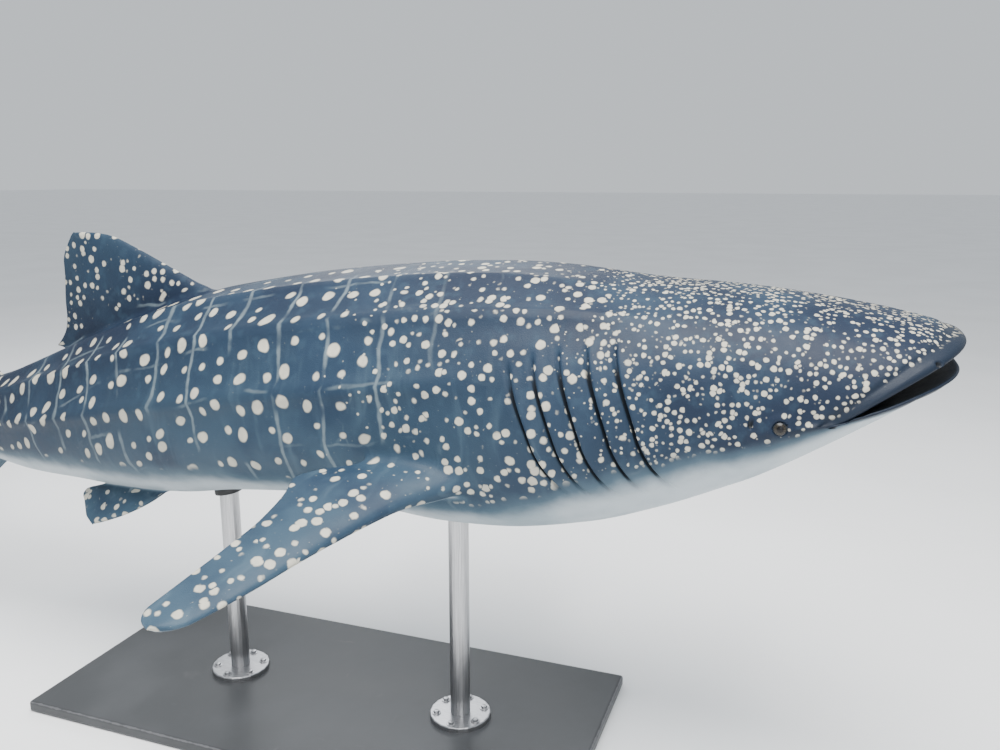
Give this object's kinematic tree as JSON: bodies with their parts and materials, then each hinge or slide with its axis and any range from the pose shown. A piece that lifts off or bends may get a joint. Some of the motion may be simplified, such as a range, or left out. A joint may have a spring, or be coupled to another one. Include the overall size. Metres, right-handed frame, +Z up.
{
  "type": "whale shark display model",
  "caption": "Life-size whale shark, swimming with its tail bent a little aside, held on a flat base by rods.",
  "frame": {"origin": "centre of the stand base's underside", "axes": "+X towards the head, +Y to the animal's left, +Z up"},
  "size_m": [6.3466, 2.7018, 2.1978],
  "materials": {
    "skin": "smooth hide, satin, dark slate with pale spots and bars, pale below",
    "eye": "glossy dark eye",
    "stand_paint": "dark satin paint",
    "stand_steel": "brushed"
  },
  "bodies": {
    "root": {"head": "skin", "lower_jaw": "skin", "torso_front": "skin", "torso_rear": "skin", "tail_stem": "skin", "dorsal_fin_first": "skin", "dorsal_fin_second": "skin", "anal_fin": "skin", "pectoral_fin_left": "skin", "pectoral_fin_right": "skin", "pelvic_fin_left": "skin", "pelvic_fin_right": "skin", "caudal_fin_upper": "skin", "caudal_fin_lower": "skin", "eye_left": "eye", "eye_right": "eye", "stand_base": "stand_paint", "stand_flange_front": "stand_steel", "stand_flange_rear": "stand_steel", "stand_rod_front": "stand_steel", "stand_rod_rear": "stand_steel"}
  },
  "joints": []
}
